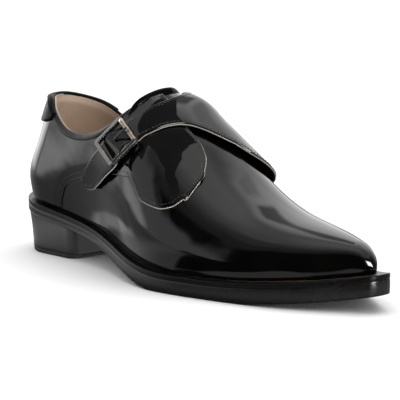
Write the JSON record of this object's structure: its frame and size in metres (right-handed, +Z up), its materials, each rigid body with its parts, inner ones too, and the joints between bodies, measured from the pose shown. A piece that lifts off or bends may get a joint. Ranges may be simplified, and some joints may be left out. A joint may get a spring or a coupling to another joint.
{
  "type": "monk strap shoe",
  "caption": "Black patent leather monk strap shoe for the right foot, with a pointed toe, a buckled strap, a welted sole and a low stacked heel.",
  "frame": {"origin": "on the floor under the middle of the shoe's bounding box", "axes": "+X towards the toe, along the shoe's length; +Y towards the inner (medial) side; +Z up"},
  "size_m": [0.3, 0.0945, 0.1128],
  "materials": {
    "patent_leather": "high gloss",
    "sole_edge": "burnished satin",
    "heel_rubber": "matt",
    "lining_leather": "soft matt",
    "buckle_metal": "polished gunmetal plating"
  },
  "bodies": {
    "root": {"outsole": "sole_edge", "welt": "sole_edge", "insole": "lining_leather", "heel_block": "sole_edge", "heel_top_lift": "heel_rubber", "upper": "patent_leather", "tongue": "patent_leather", "lateral_quarter": "patent_leather", "quarter_strap": "patent_leather", "heel_tab": "patent_leather", "buckle_frame": "buckle_metal", "buckle_prong": "buckle_metal"}
  },
  "joints": []
}
